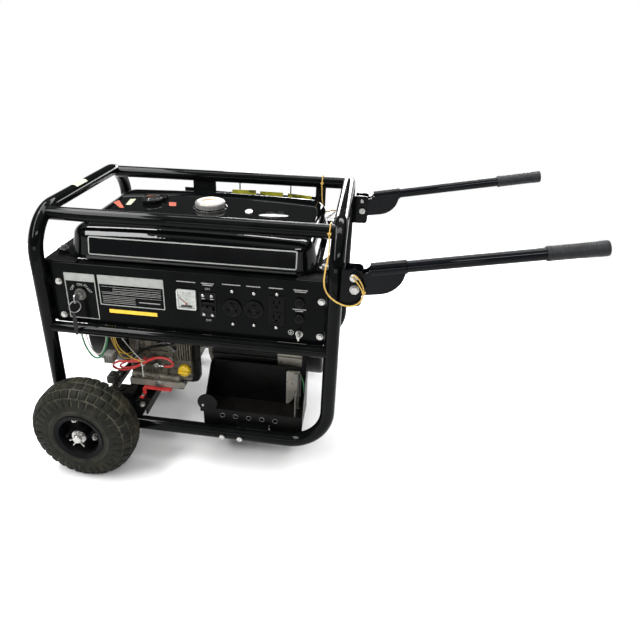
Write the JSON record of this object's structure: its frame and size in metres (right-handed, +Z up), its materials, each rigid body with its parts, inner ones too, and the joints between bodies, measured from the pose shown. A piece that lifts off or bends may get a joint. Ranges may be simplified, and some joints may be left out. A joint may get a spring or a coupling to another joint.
{
  "type": "portable generator",
  "caption": "Open tube-frame portable engine generator with fuel tank on top, control panel with sockets, wheels at one end and folding lifting handles at the other.",
  "frame": {"origin": "centre of the overall box's footprint, on the ground", "axes": "+X along the frame toward the lifting handles, +Y from the control panel side to the rear, +Z up"},
  "size_m": [1.1651, 0.73, 0.6407],
  "materials": {
    "frame_black": "gloss black enamel",
    "rubber_black": "matt moulded rubber",
    "tyre_rubber": "dusty lugged tyre",
    "rim_black": "satin black paint",
    "plated_steel": "zinc plated",
    "panel_black": "gloss black with plain printed borders",
    "meter_plastic": "grey-white",
    "needle_red": "red paint",
    "black_plastic": "black moulding",
    "tank_black": "high gloss black",
    "cap_grey": "grey rim, pale top",
    "cast_aluminium": "as cast",
    "shroud_black": "satin black",
    "shaft_steel": "machined",
    "oil_cap_yellow": "yellow moulding",
    "twine_yellow": "twisted twine",
    "cable_red": "red insulation",
    "wire_green": "green insulation"
  },
  "bodies": {
    "generator": {"air_cleaner": "black_plastic", "alternator_end_bell": "cast_aluminium", "alternator_end_cover": "shroud_black", "alternator_stator": "shaft_steel", "axle": "plated_steel", "axle_retainers": "plated_steel", "battery_cable": "cable_red", "battery_tray": "frame_black", "bell_housing": "cast_aluminium", "circuit_breakers": "black_plastic", "control_panel": "panel_black", "crankcase": "cast_aluminium", "crossmembers": "frame_black", "cylinder_head": "cast_aluminium", "earth_terminal": "plated_steel", "fan_shroud": "shroud_black", "frame_bolts": "plated_steel", "frame_brackets": "frame_black", "front_lanyard": "twine_yellow", "front_lower_rail": "frame_black", "front_mid_rail": "frame_black", "front_top_rail": "frame_black", "fuel_gauge": "black_plastic", "handle_brackets": "frame_black", "key_switch": "plated_steel", "left_arch": "frame_black", "muffler": "shroud_black", "outlet_sockets": "black_plastic", "panel_screws": "plated_steel", "panel_wires": "wire_green", "rear_lanyard": "twine_yellow", "rear_lower_rail": "frame_black", "rear_top_rail": "frame_black", "right_arch": "frame_black", "rubber_mounts": "rubber_black", "support_leg": "frame_black", "tank_lower_shell": "tank_black", "tank_upper_shell": "tank_black", "voltmeter": "meter_plastic"},
    "front_wheel": {"front_tyre": "tyre_rubber", "front_rim": "rim_black"},
    "rear_wheel": {"rear_tyre": "tyre_rubber", "rear_rim": "rim_black"},
    "front_handle": {"front_handle_arm": "frame_black", "front_handle_grip": "rubber_black"},
    "rear_handle": {"rear_handle_arm": "frame_black", "rear_handle_grip": "rubber_black"},
    "front_pin": {"front_lock_pin": "plated_steel"},
    "rear_pin": {"rear_lock_pin": "plated_steel"},
    "key": {"ignition_key": "plated_steel"},
    "filler_cap": {"fuel_cap": "cap_grey"},
    "dipstick_cap": {"oil_cap": "oil_cap_yellow"},
    "main_toggle": {"breaker_toggle": "black_plastic"},
    "upper_button": {"upper_reset_button": "black_plastic"},
    "lower_button": {"lower_reset_button": "black_plastic"},
    "needle": {"voltmeter_needle": "needle_red"},
    "starter_grip": {"recoil_grip": "black_plastic"},
    "crank_train": {"crankshaft": "shaft_steel", "flywheel": "shaft_steel", "alternator_rotor": "shaft_steel"}
  },
  "joints": [
    {"name": "front_wheel_spin", "type": "hinge", "parent": "generator", "child": "front_wheel", "pos_m": [-0.45806, -0.315, 0.1245], "axis": [0, 1, 0], "continuous": true},
    {"name": "rear_wheel_spin", "type": "hinge", "parent": "generator", "child": "rear_wheel", "pos_m": [-0.45806, 0.315, 0.1245], "axis": [0, 1, 0], "continuous": true},
    {"name": "front_handle_fold", "type": "hinge", "parent": "generator", "child": "front_handle", "pos_m": [0.13543, -0.252, 0.5125], "axis": [0, 1, 0], "range_deg": [0, 95]},
    {"name": "rear_handle_fold", "type": "hinge", "parent": "generator", "child": "rear_handle", "pos_m": [0.13543, 0.252, 0.5125], "axis": [0, 1, 0], "range_deg": [0, 95]},
    {"name": "front_pin_pull", "type": "slide", "parent": "generator", "child": "front_pin", "axis": [0, -1, 0], "range_m": [0, 0.05]},
    {"name": "rear_pin_pull", "type": "slide", "parent": "generator", "child": "rear_pin", "axis": [0, 1, 0], "range_m": [0, 0.05]},
    {"name": "key_turn", "type": "hinge", "parent": "generator", "child": "key", "pos_m": [-0.46657, -0.245, 0.43], "axis": [0, 1, 0], "range_deg": [0, 90]},
    {"name": "filler_cap_turn", "type": "hinge", "parent": "generator", "child": "filler_cap", "pos_m": [-0.22526, -0.009, 0.585], "axis": [0, 0, 1], "range_deg": [0, 90]},
    {"name": "dipstick_cap_turn", "type": "hinge", "parent": "generator", "child": "dipstick_cap", "pos_m": [-0.26856, -0.15, 0.193], "axis": [0, 1, 0], "range_deg": [-360, 0]},
    {"name": "main_toggle_flip", "type": "hinge", "parent": "generator", "child": "main_toggle", "pos_m": [-0.17406, -0.231, 0.431], "axis": [1, 0, 0], "range_deg": [-44, 0]},
    {"name": "upper_button_press", "type": "slide", "parent": "generator", "child": "upper_button", "axis": [0, 1, 0], "range_m": [0, 0.003], "stiffness_N_per_m": 300},
    {"name": "lower_button_press", "type": "slide", "parent": "generator", "child": "lower_button", "axis": [0, 1, 0], "range_m": [0, 0.003], "stiffness_N_per_m": 300},
    {"name": "needle_swing", "type": "hinge", "parent": "generator", "child": "needle", "pos_m": [-0.22107, -0.239, 0.43], "axis": [0, 1, 0], "range_deg": [0, 90], "stiffness_Nm_per_rad": 0.002},
    {"name": "starter_pull", "type": "slide", "parent": "generator", "child": "starter_grip", "axis": [-1, 0, 0], "range_m": [0, 0.45], "stiffness_N_per_m": 20},
    {"name": "crank_spin", "type": "hinge", "parent": "generator", "child": "crank_train", "pos_m": [-0.22756, -0.02, 0.265], "axis": [1, 0, 0], "continuous": true}
  ]
}
